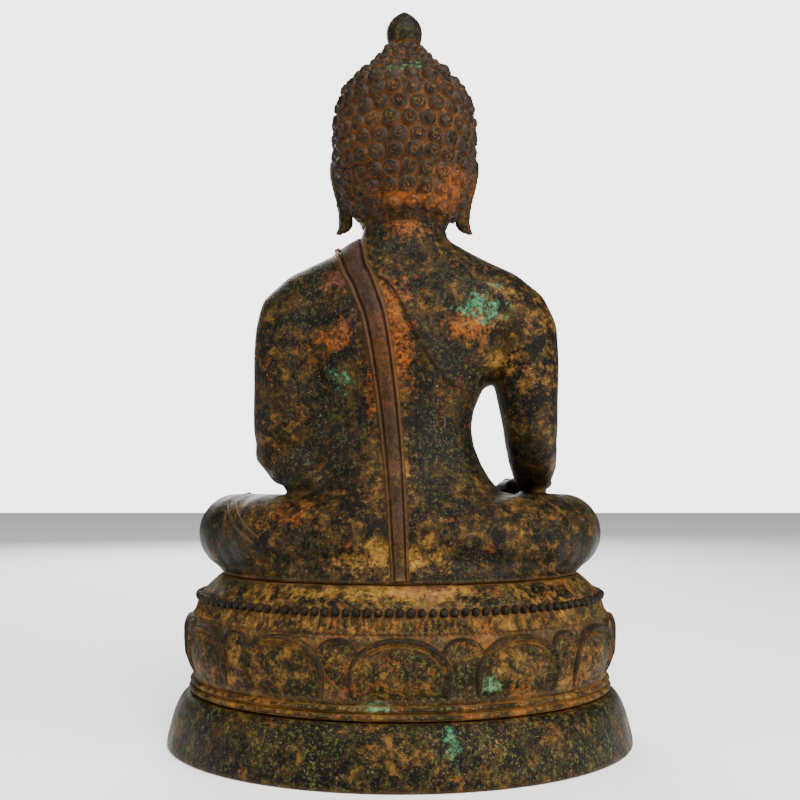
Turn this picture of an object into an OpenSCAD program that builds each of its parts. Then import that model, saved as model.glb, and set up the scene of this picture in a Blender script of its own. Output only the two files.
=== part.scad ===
// Seated Buddha in the earth-touching pose on an oval lotus throne, cast hollow in bronze sections.
// Millimetres. +Z is up, the figure faces -Y, and the origin is the centre of the throne's underside.

/* [Throne] */
// Half width of the foot at the floor
foot_r = 154.5; // [148:0.5:160]
// How much shorter the oval throne is from front to back, on each side
oval_drop = 28; // [20:1:32]
// Height of the plain flared foot
foot_h = 35; // [32:1:38]
// Height of the seat on which the figure sits
seat_z = 110; // [108:1:112]
// Number of large lotus petals, and of the small ones between them
petal_count = 12; // [10:1:14]
// Number of beads round the seat's edge
bead_count = 120; // [100:2:124]
// Bead radius
bead_r = 2.5; // [2:0.1:2.7]

/* [Figure] */
// Sideways place of the figure's own axis
axis_x = -3; // [-4:0.5:0]
// Thickness of the cast bronze wall
wall = 4; // [3:0.5:5]
// Height of the seam between the legs and the torso
waist_z = 164; // [162:1:166]
// Height of the seam between the torso and the neck
collar_z = 330; // [329:1:332]
// Height of the seam between the neck and the head
jaw_z = 344; // [342:1:346]
// Half width of the torso at its shoulder seams
shoulder_x = 62; // [60:0.5:64]

/* [Hair] */
// Height of the seam between the hair cap and the topknot
topknot_z = 448; // [446:1:449]
// Distance between neighbouring curls
curl_pitch = 12; // [11.5:0.1:13]
// Radius of a full-sized curl
curl_r = 4.9; // [4:0.1:5.2]
// Height of a curl above the hair
curl_h = 2.6; // [2:0.1:3]

/* [Finial] */
// Height of the top of the hair, where the bud stands
bud_z = 474; // [472:0.5:476]
// Overall height, at the bud's tip
tip_z = 500; // [496:1:504]
// Radius of the tenon under the bud
tenon_r = 4; // [3.5:0.1:4.5]
// Length of the tenon
tenon_len = 15; // [12:1:16]
// Gap all round the tenon in its socket
tenon_gap = 0.08; // [0.05:0.01:0.1]

/* [Hidden] */

oval_steps = 56;      // facets round the throne
ring_steps = 20;      // facets round a limb
stack_steps = 28;     // facets round the trunk and head
bronze = "#4a3826";
ochre = "#8a5a2c";
dark = "#2c241c";
green = "#5f7f5c";

// ---------- Shared shapes ----------

function unit(v) = v / norm(v);
function power(v, e) = sign(v) * pow(abs(v), e);

// A solid through rings of equal length, closed flat at both ends.
module skin(rings) {
    n = len(rings[0]);
    last = len(rings) - 1;
    points = [for (ring = rings) for (p = ring) p];
    sides = [for (i = [0:last - 1]) for (j = [0:n - 1])
        each [[i * n + j, i * n + (j + 1) % n, (i + 1) * n + j],
              [(i + 1) * n + j, i * n + (j + 1) % n, (i + 1) * n + (j + 1) % n]]];
    bottom = [[for (j = [n - 1:-1:0]) j]];
    top = [[for (j = [0:n - 1]) last * n + j]];
    polyhedron(points, [for (f = concat(sides, bottom, top)) [for (k = [len(f) - 1:-1:0]) f[k]]]);
}

// A closed band through rings that return to the first one, such as a moulding round the throne.
module closed_band(rings) {
    m = len(rings);
    n = len(rings[0]);
    points = [for (ring = rings) for (p = ring) p];
    sides = [for (i = [0:m - 1]) for (j = [0:n - 1])
        let (a = i * n + j, b = i * n + (j + 1) % n, c = (i + 1) % m * n + j, d = (i + 1) % m * n + (j + 1) % n)
        each [[a, c, b], [c, d, b]]];
    polyhedron(points, sides);
}

function oval_point(angle, r, z) = [r * cos(angle), (r - oval_drop) * sin(angle), z];

// A profile of [radius, height] points, run round the oval.
module oval_band(profile) {
    closed_band([for (i = [0:oval_steps - 1])
        [for (p = profile) oval_point(i * 360 / oval_steps, p[0], p[1])]]);
}

// A plate or mound through ovals of [radius, height].
module oval_stack(levels) {
    skin([for (l = levels) [for (i = [0:oval_steps - 1]) oval_point(i * 360 / oval_steps, l[0], l[1])]]);
}

// Level: [z, reach to the right, reach to the left, half depth, centre y]. Squareness below 1 fills the corners out.
function level_ring(l, squareness, inset) = [for (i = [0:stack_steps - 1])
    let (a = i * 360 / stack_steps, reach = cos(a) < 0 ? l[1] : l[2])
    [axis_x + (reach - inset) * power(cos(a), squareness), l[4] + (l[3] - inset) * power(sin(a), squareness), l[0]]];

module trunk(levels, squareness = 0.9, inset = 0) {
    skin([for (l = levels) level_ring(l, squareness, inset)]);
}

// Station: [x, y, z, half size across, half size along the reference]. The rings stand square to the path.
function tangent(path, i) =
    let (a = path[max(i - 1, 0)], b = path[min(i + 1, len(path) - 1)])
    unit([b[0] - a[0], b[1] - a[1], b[2] - a[2]]);

function limb_ring(path, i, reference, inset) =
    let (t = tangent(path, i), v = unit(reference - (reference * t) * t), u = cross(v, t), s = path[i])
    [for (k = [0:ring_steps - 1])
        let (a = k * 360 / ring_steps)
        [s[0], s[1], s[2]] + (s[3] - inset) * cos(a) * u + (s[4] - inset) * sin(a) * v];

// Points above the elbow stay outboard of the shoulder seam, where one is given.
function held_out(p, seam, side) =
    seam != undef && p[2] > 200 ? [side > 0 ? max(p[0], seam) : min(p[0], seam), p[1], p[2]] : p;

module limb(path, reference) {
    skin([for (i = [0:len(path) - 1]) limb_ring(path, i, reference, 0)]);
}

// A hollow limb, open at both ends: its outer rings out, then its inner rings back.
module hollow_limb(path, reference, seam, side = 1) {
    last = len(path) - 1;
    outer = [for (i = [0:last]) [for (p = limb_ring(path, i, reference, 0)) held_out(p, seam, side)]];
    inner = [for (i = [last:-1:0]) [for (p = limb_ring(path, i, reference, wall))
        held_out(p, seam == undef ? undef : seam + side * wall / 2, side)]];
    closed_band(concat(outer, inner));
}

// Everything beyond a plane square to X, for cutting a casting at a seam.
module beyond(x, side = 1) {
    reach = 400;
    translate([side > 0 ? x : x - reach, -reach / 2, -1]) cube([reach, reach, 2 * reach]);
}

// ---------- Throne ----------

rim_w = 6.5;                              // width of the foot's flat underside
moulding_top = foot_h + 11;               // top of the two fillets
drum_top = moulding_top + 38;             // top of the petal drum
collar_top = drum_top + 10;               // top of the stamen collar
shelf_r = foot_r - 23.5;                  // inner edge of the shelves between the throne's sections
drum_wall = [[-15.5, 0], [-13.5, 10], [-13, 22], [-14, 32], [-17, 38]];   // outer face, from foot_r and moulding_top

module foot() {
    color(dark) oval_band([
        [foot_r, 0], [foot_r, 5], [foot_r - 2, 14], [foot_r - 4.5, 22], [foot_r - 8, foot_h - 6],
        [foot_r - 11.5, foot_h - 2], [foot_r - 15, foot_h], [shelf_r, foot_h], [shelf_r, foot_h - 5],
        [foot_r - 17, foot_h - 7], [foot_r - 11, 20], [foot_r - 7.5, 8], [foot_r - rim_w, 0]]);
}

module lower_moulding() {
    color(ochre) oval_band([
        [shelf_r, foot_h], [foot_r - 15.5, foot_h], [foot_r - 13.5, foot_h + 2], [foot_r - 13.8, foot_h + 4],
        [foot_r - 16, foot_h + 5.5], [foot_r - 14.8, foot_h + 7], [foot_r - 15.5, foot_h + 9],
        [foot_r - 18, moulding_top], [shelf_r, moulding_top]]);
}

module lotus_drum() {
    outer = [for (p = drum_wall) [foot_r + p[0], moulding_top + p[1]]];
    inner = [for (i = [len(drum_wall) - 1:-1:0]) [foot_r + drum_wall[i][0] - wall - 1, moulding_top + drum_wall[i][1]]];
    color(bronze) oval_band(concat(outer, inner));
}

// Face of the drum at a share of its height.
function drum_r(share) = foot_r + lookup(share * 38, [for (p = drum_wall) [p[1], p[0]]]);

// A rounded petal that lies on the drum and bulges from it. Width is in degrees of the oval.
module petal(middle, half_width, low, high, bulge, across, along) {
    thickness = 1.6;
    // Half width at a share of the petal's length: narrow foot, full middle, round tip.
    function reach(v) = half_width * (v < 0.45 ? 0.72 + 0.62 * v : sqrt(max(0.02, 1 - pow((v - 0.45) / 0.58, 2))));
    function place(u, v, lift) =
        let (share = low + (high - low) * v)
        oval_point(middle + u * reach(v), drum_r(share) + lift, moulding_top + 38 * share);
    rings = [for (i = [0:along]) let (v = i / along) concat(
        [for (j = [0:across]) let (u = -1 + 2 * j / across)
            place(u, v, thickness + bulge * (1 - u * u) * sin(20 + 140 * v))],
        [for (j = [across:-1:0]) let (u = -1 + 2 * j / across) place(u, v, -0.6)])];
    skin(rings);
}

module large_petals() {
    color(bronze) for (i = [0:petal_count - 1])
        petal(90 + i * 360 / petal_count, 11.4, 0.02, 0.97, 3, 8, 6);
}

module small_petals() {
    color(ochre) for (i = [0:petal_count - 1])
        petal(90 + (i + 0.5) * 360 / petal_count, 3, 0.3, 1, 1.2, 4, 5);
}

module stamen_collar() {
    color(ochre) oval_band([
        [foot_r - 17, drum_top], [foot_r - 18.5, drum_top + 4], [foot_r - 19.5, collar_top],
        [foot_r - 25, collar_top], [foot_r - 22, drum_top]]);
}

bead_ring_r = foot_r - 19.6;
bead_z = collar_top + bead_r;

// Beads stand at equal distances round the oval, which needs a small correction to equal angles.
module bead_row() {
    ripple = 2.6 * oval_drop / 28;
    color(dark) for (i = [0:bead_count - 1]) {
        a = i * 360 / bead_count;
        translate(oval_point(a - ripple * sin(2 * a), bead_ring_r, bead_z)) sphere(bead_r, $fn = 24);
    }
}

module seat_cap() {
    color(bronze) difference() {
        oval_stack([[foot_r - 20, collar_top], [foot_r - 22.5, collar_top + 2.5], [foot_r - 22, collar_top + 5],
            [foot_r - 25, collar_top + 8], [foot_r - 30, seat_z - 4], [foot_r - 33, seat_z]]);
        oval_stack([[foot_r - 26, collar_top - 1], [foot_r - 28, collar_top + 3],
            [foot_r - 34, seat_z - 8], [foot_r - 40, seat_z - wall - 1]]);
        seat_rivet_shanks(rivet_r + 0.05);
    }
}

rivet_r = 2.2;
rivet_places = [[-52, 46], [46, 46], [-62, 14], [56, 14]];

module seat_rivet_shanks(r) {
    for (p = rivet_places) translate([p[0], p[1], seat_z - wall - 4]) cylinder(h = 15, r = r, $fn = 24);
}

// Rivets that hold the legs' casting down on the seat, headed under it.
module seat_rivets() {
    color("silver") union() {
        seat_rivet_shanks(rivet_r);
        for (p = rivet_places) translate([p[0], p[1], seat_z - wall - 4]) cylinder(h = 3, r = 4.5, $fn = 24);
    }
}

// ---------- Legs ----------

leg_seam_x = 70;
pelvis_levels = [
    [seat_z, 84, 84, 66, 18], [seat_z + 8, 88, 88, 70, 15], [seat_z + 18, 90, 90, 71, 14], [seat_z + 28, 90, 90, 69, 15],
    [seat_z + 38, 86, 86, 64, 18], [seat_z + 46, 78, 78, 56, 23], [waist_z, 64, 64, 42, 32]];
core_hole = [-27, 141];     // where the casting core was held low on the back, [x, z]
core_hole_r = 1.8;

module pelvis() {
    color(bronze) difference() {
        trunk(pelvis_levels, 0.85);
        intersection() {
            trunk(pelvis_levels, 0.85, wall);
            translate([-100, -100, seat_z + wall]) cube([200, 200, waist_z - seat_z - 2 * wall]);
        }
        beyond(x = axis_x - leg_seam_x, side = -1);
        beyond(x = axis_x + leg_seam_x);
        translate([core_hole[0], 60, core_hole[1]]) rotate([-90, 0, 0]) cylinder(h = 60, r = core_hole_r, $fn = 24);
        seat_rivet_shanks(rivet_r + 0.05);
    }
}

seam_gap = 0.4;
right_hip = axis_x - leg_seam_x - seam_gap;
left_hip = axis_x + leg_seam_x + seam_gap;
knee_z = seat_z + 26.5;
// Thigh from the hip seam to the knee, then the shin back across the front. [x, y, z, across, up]
right_leg_path = [
    [right_hip, 15, knee_z, 46, 26.3], [right_hip - 3, 15, knee_z, 45.5, 26.3], [-92, 8, knee_z, 39, 26.3],
    [-105, -6, knee_z, 34.5, 26.3], [-112, -27, knee_z, 30, 26], [-104.5, -47, 138, 26, 24.5],
    [-89, -62, 140, 22.5, 22], [-68, -71, 142, 19.5, 18.5], [-44, -76.5, 143.5, 16.5, 15.5],
    [-20, -79, 145, 13.5, 13.5], [2, -80, 146, 11.5, 12]];
left_leg_path = [
    [left_hip, 15, knee_z, 46, 26.3], [left_hip + 3, 15, knee_z, 45.5, 26.3], [88, 8, knee_z, 39, 26.3],
    [103, -6, knee_z, 34.5, 26.3], [111, -27, knee_z - 0.5, 30, 25.8], [102, -46, 134.5, 25, 23.5],
    [86, -59, 131, 20.5, 19], [65, -65.5, 127.5, 16.5, 15.5], [42, -69, 124.2, 13, 12.5],
    [20, -70.5, 122.2, 10.8, 10.8], [0, -71, 121.3, 9.8, 10]];
up = [0, 0, 1];

module right_leg() {
    color(bronze) hollow_limb(right_leg_path, up);
}

module left_leg() {
    color(bronze) hollow_limb(left_leg_path, up);
}

// The right foot lies sole up on the left shin. The left foot shows under the right shin.
module right_foot() {
    color(ochre) limb([[2.3, -80, 146.1, 11.2, 11.6], [16, -79.5, 147.5, 12.5, 11.5], [32, -77, 148.8, 13.5, 9],
        [48, -72.5, 150, 14.5, 7], [60, -68, 151.2, 13, 5.5], [69, -64, 152.2, 10, 4.5], [74, -62, 152.8, 5, 3]], up);
}

module left_foot() {
    color(ochre) limb([[-0.3, -71, 121.3, 9.6, 9.8], [-14, -71, 120.4, 10.8, 9], [-30, -72, 119, 12.5, 7.8],
        [-46, -73.5, 117.8, 13, 6.6], [-58, -75, 117, 11.5, 5.8], [-67, -76, 116.8, 8, 5], [-72, -76.5, 116.6, 4, 3.4]], up);
}

// ---------- Torso, arms and hands ----------

torso_levels = [
    [waist_z, 64, 64, 42, 32], [172, 56.5, 61, 36.5, 32.5], [182, 51.5, 60, 33, 32], [194, 47.8, 60, 31, 31],
    [206, 46, 60, 30, 30], [218, 48, 61, 30.5, 29], [230, 53.5, 63, 32, 28], [242, 60, 66, 34, 27],
    [256, 68, 71, 36, 26.5], [272, 78, 78, 37, 26], [290, 84, 84, 36, 25.5], [304, 84, 84, 33, 24.5],
    [313, 79, 79, 30, 22.5], [319, 66, 66, 28.5, 20.5], [325, 48, 48, 28, 18.5], [collar_z, 38.5, 38.5, 27.5, 17]];

module torso() {
    color(bronze) difference() {
        trunk(torso_levels, 0.88);
        trunk([for (l = torso_levels)
            [l[0] + (l[0] == waist_z ? -1 : l[0] == collar_z ? 1 : 0), l[1], l[2], l[3], l[4]]], 0.88, wall);
        beyond(x = right_shoulder, side = -1);
        beyond(x = left_shoulder);
    }
}

right_shoulder = axis_x - shoulder_x;
left_shoulder = axis_x + shoulder_x;
// [x, y, z, half width across the arm, half depth]
right_arm_path = [
    [right_shoulder, 26, 285, 35, 25.5], [right_shoulder - 3, 26, 285, 35, 25.8], [-76, 26, 280.5, 33, 27],
    [-83.5, 26.5, 268, 28, 28], [-86, 27, 254, 24.5, 27.5], [-87.2, 28, 238, 22.8, 25.5], [-88.5, 29, 222, 20.6, 23],
    [-90, 28, 207, 19, 20.5], [-91, 22, 195, 18, 17.5], [-91.5, 10, 184, 16.5, 15], [-92, -4, 176.5, 14, 12.5],
    [-92.5, -16, 171.5, 12, 10.5]];
left_arm_path = [
    [left_shoulder, 26, 285, 35, 25.5], [left_shoulder + 3, 26, 285, 35, 25.8], [70, 26, 279.5, 33, 27],
    [76, 26.5, 266, 26.5, 28], [79, 27, 251, 23, 27.5], [80.3, 27.5, 236, 21, 26], [80.4, 28, 220, 21, 24],
    [80.4, 27, 206, 21, 21.5], [80, 21, 194, 20.5, 19], [74, 8, 184, 18, 16.5], [66, -8, 178, 15.5, 13.5],
    [56, -22, 174, 13, 11.5], [46, -33, 171, 11.5, 10]];
back = [0, 1, 0];

module right_arm() {
    color(bronze) hollow_limb(right_arm_path, back, right_shoulder, -1);
}

module left_arm() {
    color(bronze) hollow_limb(left_arm_path, back, left_shoulder, 1);
}

// Right hand over the knee with its fingers pointing down, left hand palm up in the lap.
module right_hand() {
    color(ochre) limb([[-92.8, -19, 171, 11.5, 9], [-93.8, -34, 170, 14.5, 6.5], [-94.8, -49, 169.8, 17, 5.5],
        [-95.5, -66, 169, 17.5, 5], [-96, -80, 163, 17, 4.6], [-96, -91, 151.5, 16, 4.2], [-95.8, -96, 138, 14.5, 3.8],
        [-95, -97, 127, 12.5, 3.5], [-94.5, -96, 119, 10.5, 3]], [0, 0.3, 1]);
}

module left_hand() {
    color(ochre) limb([[44.5, -34.4, 170.5, 10.8, 8.5], [30, -43, 169, 12.5, 7], [14, -49, 168.5, 15.5, 6.2],
        [-3, -52, 168.5, 16.5, 5.6], [-20, -52.5, 168.5, 15.5, 5], [-36, -52, 168.5, 13.5, 4.4],
        [-48, -51, 168.5, 9, 3.6]], up);
}

// ---------- Neck and head ----------

neck_y = 15;
neck_r = 29.5;
pin_r = 1.6;
neck_levels = [
    [collar_z - 8, 33.8, 33.8, 22.8, 17], [collar_z, 33.8, 33.8, 22.8, 17], [collar_z, 38.5, 38.5, 27.5, 17],
    [collar_z + 3, 34, 34, 27.2, 16], [collar_z + 7, 30.5, 30.5, 27, 15], [jaw_z, neck_r, neck_r, 27.5, neck_y]];
neck_bore = [collar_z - 8, 24, 24, 17, 16];

// The neck flares into the shoulders, and its lower end is a sleeve that goes down inside the torso's collar.
module neck() {
    color(bronze) closed_band(concat([for (l = neck_levels) level_ring(l, 0.95, 0)],
        [for (z = [jaw_z, collar_z - 8]) level_ring([z, neck_bore[1], neck_bore[2], neck_bore[3], neck_bore[4]], 0.95, 0)]));
}

// Iron pins left in the neck's wall from casting the core.
module neck_pins() {
    color("dimgray") for (side = [0, 180]) translate([axis_x, neck_y, collar_z + 9]) rotate([0, 90, side])
        translate([0, 0, neck_r - 6]) cylinder(h = 5.5, r = pin_r, $fn = 20);
}

head_levels = [
    [jaw_z, 26.5, 26.5, 34, 4], [350, 31, 31, 39, 3], [358, 36, 36, 44, 4], [368, 40, 40, 47, 5.5], [380, 43, 43, 49, 7],
    [394, 45, 45, 50, 8], [408, 45.6, 45.6, 50, 8], [420, 45, 45, 48.5, 8.5], [430, 43, 43, 46, 9],
    [438, 39.5, 39.5, 42, 9.5], [444, 35.5, 35.5, 37.5, 9.5], [topknot_z, 32, 32, 33.5, 9.5]];
// The hairline plane runs from the top of the forehead down behind the jaw.
hairline_top = [-41, 430];
hairline_slope = atan2(50, 86);

module head_shell() {
    difference() {
        trunk(head_levels, 1);
        intersection() {
            trunk(head_levels, 1, wall);
            translate([-60, -60, jaw_z + wall]) cube([120, 140, topknot_z - jaw_z - 2 * wall]);
        }
    }
}

module behind_hairline() {
    translate([0, hairline_top[0], hairline_top[1]]) rotate([hairline_slope, 0, 0])
        translate([-100, 0, -200]) cube([200, 200, 400]);
}

module face() {
    color(ochre) difference() {
        head_shell();
        behind_hairline();
    }
}

module hair_cap() {
    color(dark) intersection() {
        head_shell();
        behind_hairline();
    }
}

topknot_profile = [[32, 0], [30, 2.5], [26.5, 6], [22.5, 9.5], [18.5, 14], [15.5, 19], [13.2, 23], [11.2, 26]];

module topknot() {
    color(dark) translate([axis_x, 9.5, topknot_z]) difference() {
        rotate_extrude($fn = 64) polygon(concat([[0, 0]], topknot_profile, [[0, bud_z - topknot_z]]));
        translate([0, 0, bud_z - topknot_z - tenon_len - 1]) cylinder(h = tenon_len + 2, r = tenon_r + tenon_gap, $fn = 48);
    }
}

module finial() {
    h = tip_z - bud_z;
    color(dark) translate([axis_x, 9.5, bud_z]) {
        rotate_extrude($fn = 64) polygon([[0, 0], [10.6, 0], [11.6, h * 0.1], [12.4, h * 0.26], [12.7, h * 0.42],
            [12.1, h * 0.55], [10.4, h * 0.68], [7.6, h * 0.81], [4.2, h * 0.92], [1.6, h * 0.98], [0, h]]);
        translate([0, 0, -tenon_len]) cylinder(h = tenon_len + 1, r = tenon_r, $fn = 48);
    }
}

// Surface of the hair at a height: half width, half depth and centre.
function head_at(z, k) = lookup(z, [for (l = head_levels) [l[0], l[k]]]);
function knot_at(z) = lookup(z - topknot_z, [for (p = topknot_profile) [p[1], p[0]]]);
hairline_y = function (z) hairline_top[0] + (hairline_top[1] - z) * tan(hairline_slope);

// A curl: a low button whose axis follows the surface it sits on.
module curl(place, lean, size) {
    translate(place) rotate([0, 0, lean[0]]) rotate([0, 90 - lean[1], 0]) translate([0, 0, -0.8])
        cylinder(h = curl_h * size + 0.8, r1 = curl_r * size, r2 = curl_r * size * 0.62, $fn = 24);
}

cap_rows = [for (i = [0:8]) 353.5 + i * 10.9];
knot_rows = [[449.5, 0.95], [458, 0.8], [465.5, 0.66], [471.2, 0.52]];

module hair_curls() {
    color(dark) union() {
        for (row = [0:len(cap_rows) - 1]) {
            z = cap_rows[row];
            rx = head_at(z, 1);
            ry = head_at(z, 3);
            count = round(PI * (rx + ry) / curl_pitch);
            climb = atan2(head_at(z - 3, 1) - head_at(z + 3, 1), 6);
            for (i = [0:count - 1]) {
                a = (i + (row % 2) / 2) * 360 / count;
                place = [axis_x + rx * cos(a), head_at(z, 4) + ry * sin(a), z];
                if (place[1] > hairline_y(z) + curl_r)
                    curl(place, [atan2(sin(a) / ry, cos(a) / rx), climb], 1);
            }
        }
        for (row = [0:len(knot_rows) - 1]) {
            z = knot_rows[row][0];
            r = knot_at(z);
            size = knot_rows[row][1];
            count = round(2 * PI * r / (curl_pitch * size));
            for (i = [0:count - 1]) {
                a = (i + (row % 2) / 2) * 360 / count;
                curl([axis_x + r * cos(a), 9.5 + r * sin(a), z], [a, row == 3 ? 30 : 42], size);
            }
        }
    }
}

// A long ear whose lobe hangs clear of the neck and turns out at its tip.
module ear(side) {
    translate([axis_x, 0, 0]) scale([side, 1, 1]) {
        hull() {
            translate([46.5, 3, 397]) sphere(4, $fn = 16);
            translate([47.5, -6, 392]) sphere(3, $fn = 16);
            translate([45, 0, 374]) sphere(3.2, $fn = 16);
        }
        hull() {
            translate([45, 0, 374]) sphere(3.2, $fn = 16);
            translate([43, 3, 358]) sphere(3.6, $fn = 16);
        }
        hull() {
            translate([43, 3, 358]) sphere(3.6, $fn = 16);
            translate([42.5, 3, 348]) sphere(3.4, $fn = 16);
            translate([36.5, 3, 350]) sphere(2.6, $fn = 16);
        }
    }
}

module right_ear() {
    color(ochre) ear(-1);
}

module left_ear() {
    color(ochre) ear(1);
}

// ---------- Robe ----------

function body_at(z, k) = lookup(z, concat([for (l = pelvis_levels) [l[0], l[k]]], [for (l = torso_levels) [l[0], l[k]]]));
// Surface of the back or the chest at a place: side is 1 behind and -1 in front.
function surface_y(x, z, side) =
    let (share = min(0.98, abs(x - axis_x) / body_at(z, x < axis_x ? 1 : 2)))
    body_at(z, 4) + side * body_at(z, 3) * pow(1 - pow(share, 2 / 0.88), 0.44);

// A folded strip along route, a list of [x, z], lying on the body with its face proud of it.
module strip(route, width, side, proud = 2.2) {
    rings = [for (i = [0:len(route) - 1])
        let (p = route[i], a = route[max(i - 1, 0)], b = route[min(i + 1, len(route) - 1)],
            d = unit([b[0] - a[0], b[1] - a[1]]), across = [d[1], -d[0]] * width / 2,
            l = p - across, r = p + across)
        [[l[0], surface_y(l[0], l[1], side) - side * 0.8, l[1]], [l[0], surface_y(l[0], l[1], side) + side * proud, l[1]],
         [p[0], surface_y(p[0], p[1], side) + side * proud, p[1]],
         [r[0], surface_y(r[0], r[1], side) + side * proud, r[1]], [r[0], surface_y(r[0], r[1], side) - side * 0.8, r[1]],
         [p[0], surface_y(p[0], p[1], side) - side * 0.8, p[1]]]];
    if (side > 0) skin([for (i = [len(rings) - 1:-1:0]) rings[i]]);
    else skin(rings);
}

back_route = [[27, 311], [21.5, 303], [16, 290], [12.5, 274], [9.5, 256], [7, 238], [5, 220], [3.5, 202], [2, 184],
    [1, 166], [0, 150], [-0.5, 134], [-1, 118], [-1, seat_z + 1]];
front_route = [[28, 309], [27, 300], [25, 286], [22, 270], [18.5, 254], [15, 238], [12, 222], [9, 206], [6, 192]];
edge_route = [[3, 306], [-5, 292], [-13, 278], [-22, 264], [-31, 252], [-41, 242.5], [-50, 238]];

module back_sash() {
    color(dark) strip(back_route, 15.5, 1);
}

module front_sash() {
    color(ochre) strip(front_route, 22, -1);
}

// The robe's upper edge, which crosses the back and the chest to the bare right armpit.
module robe_edge() {
    color(green) union() {
        strip(edge_route, 4, 1, 1.4);
        strip(edge_route, 4, -1, 1.4);
    }
}

// Iron pins that held the casting core, cut off flush inside and out. One hole in the back stays empty.
pin_places = [[-30, 262, 1], [26, 250, 1], [-28, 196, 1], [40, 258, -1], [-26, 250, -1], [-20, 200, -1]];

module core_pins() {
    color("dimgray") for (p = pin_places)
        translate([p[0], surface_y(p[0], p[1], p[2]) - p[2] * (wall / 2 + 0.6), p[1]]) rotate([90, 0, 0])
            cylinder(h = wall, r = 1.5, center = true, $fn = 16);
}

foot();
lower_moulding();
lotus_drum();
large_petals();
small_petals();
stamen_collar();
bead_row();
seat_cap();
seat_rivets();
pelvis();
right_leg();
left_leg();
right_foot();
left_foot();
torso();
right_arm();
left_arm();
right_hand();
left_hand();
neck();
neck_pins();
face();
hair_cap();
hair_curls();
right_ear();
left_ear();
topknot();
finial();
back_sash();
front_sash();
robe_edge();
core_pins();
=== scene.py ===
import math
import random

import bmesh
import bpy
from mathutils import Euler, Matrix, Vector
from mathutils.bvhtree import BVHTree


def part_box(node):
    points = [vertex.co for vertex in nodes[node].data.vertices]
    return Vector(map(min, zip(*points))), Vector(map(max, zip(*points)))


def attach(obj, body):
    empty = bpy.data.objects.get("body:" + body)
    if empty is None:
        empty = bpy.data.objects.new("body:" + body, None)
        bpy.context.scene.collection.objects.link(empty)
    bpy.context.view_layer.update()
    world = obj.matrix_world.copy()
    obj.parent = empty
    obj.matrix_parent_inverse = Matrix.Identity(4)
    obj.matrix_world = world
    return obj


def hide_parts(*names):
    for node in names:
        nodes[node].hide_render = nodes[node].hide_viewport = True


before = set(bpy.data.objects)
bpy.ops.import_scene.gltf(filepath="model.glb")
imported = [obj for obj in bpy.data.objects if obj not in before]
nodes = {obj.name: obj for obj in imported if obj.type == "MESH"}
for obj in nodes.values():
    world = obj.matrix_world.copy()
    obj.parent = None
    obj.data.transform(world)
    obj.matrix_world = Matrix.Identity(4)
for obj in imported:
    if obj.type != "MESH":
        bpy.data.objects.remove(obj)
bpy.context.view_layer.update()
mm = 0.001


# tools used on every piece
def focus(piece):
    bpy.ops.object.select_all(action="DESELECT")
    piece.select_set(True)
    bpy.context.view_layer.objects.active = piece


def applyAll(piece):
    focus(piece)
    for modifier in list(piece.modifiers):
        bpy.ops.object.modifier_apply(modifier=modifier.name)


def place(mesh, name):
    piece = bpy.data.objects.new(name, mesh)
    bpy.context.scene.collection.objects.link(piece)
    return piece


def fromPoints(name, points, faces, edges=()):
    mesh = bpy.data.meshes.new(name)
    mesh.from_pydata([Vector(p) * mm for p in points], edges, faces)
    return place(mesh, name)


def tidyMesh(piece, reach=0.00002):
    focus(piece)
    bpy.ops.object.mode_set(mode="EDIT")
    bpy.ops.mesh.select_all(action="SELECT")
    bpy.ops.mesh.remove_doubles(threshold=reach)
    bpy.ops.mesh.normals_make_consistent(inside=False)
    bpy.ops.object.mode_set(mode="OBJECT")


def smoothShade(piece, degrees=45):
    focus(piece)
    bpy.ops.object.shade_smooth_by_angle(angle=math.radians(degrees))


def finishPiece(piece, material, replaced=(), body="statue"):
    piece.data.materials.clear()
    piece.data.materials.append(material)
    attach(piece, body)
    if replaced:
        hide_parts(*replaced)
    return piece


def solidify(piece, thickness):
    wall = piece.modifiers.new("Wall", "SOLIDIFY")
    wall.thickness = thickness * mm
    wall.offset = -1
    applyAll(piece)


# A copy of a CAD node's mesh, with its loose triangles merged.
def copyNode(name):
    piece = place(nodes[name].data.copy(), name + "Copy")
    focus(piece)
    bpy.ops.object.mode_set(mode="EDIT")
    bpy.ops.mesh.select_all(action="SELECT")
    bpy.ops.mesh.remove_doubles(threshold=0.00001)
    bpy.ops.object.mode_set(mode="OBJECT")
    return piece


# Faces over a grid of points, rows along and columns across; either way may close on itself.
def gridFaces(rows, columns, loopRows=False, loopColumns=False):
    faces = []
    for i in range(rows if loopRows else rows - 1):
        for j in range(columns if loopColumns else columns - 1):
            a, b = i * columns + j, i * columns + (j + 1) % columns
            c, d = (i + 1) % rows * columns + j, (i + 1) % rows * columns + (j + 1) % columns
            faces.append((a, b, d, c))
    return faces


# One ball as rings of points with a pole at each end.
def ballPoints(rings, spokes):
    points = [Vector((0, 0, 1))]
    for i in range(1, rings):
        tilt = math.pi * i / rings
        points += [Vector((math.sin(tilt) * math.cos(2 * math.pi * j / spokes),
                           math.sin(tilt) * math.sin(2 * math.pi * j / spokes), math.cos(tilt)))
                   for j in range(spokes)]
    points.append(Vector((0, 0, -1)))
    faces = [(0, 1 + j, 1 + (j + 1) % spokes) for j in range(spokes)]
    faces += [(1 + a, 1 + d, 1 + c, 1 + b) for a, b, c, d in gridFaces(rings - 1, spokes, loopColumns=True)]
    last, end = 1 + (rings - 2) * spokes, len(points) - 1
    faces += [(last + (j + 1) % spokes, last + j, end) for j in range(spokes)]
    return points, faces


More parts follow.
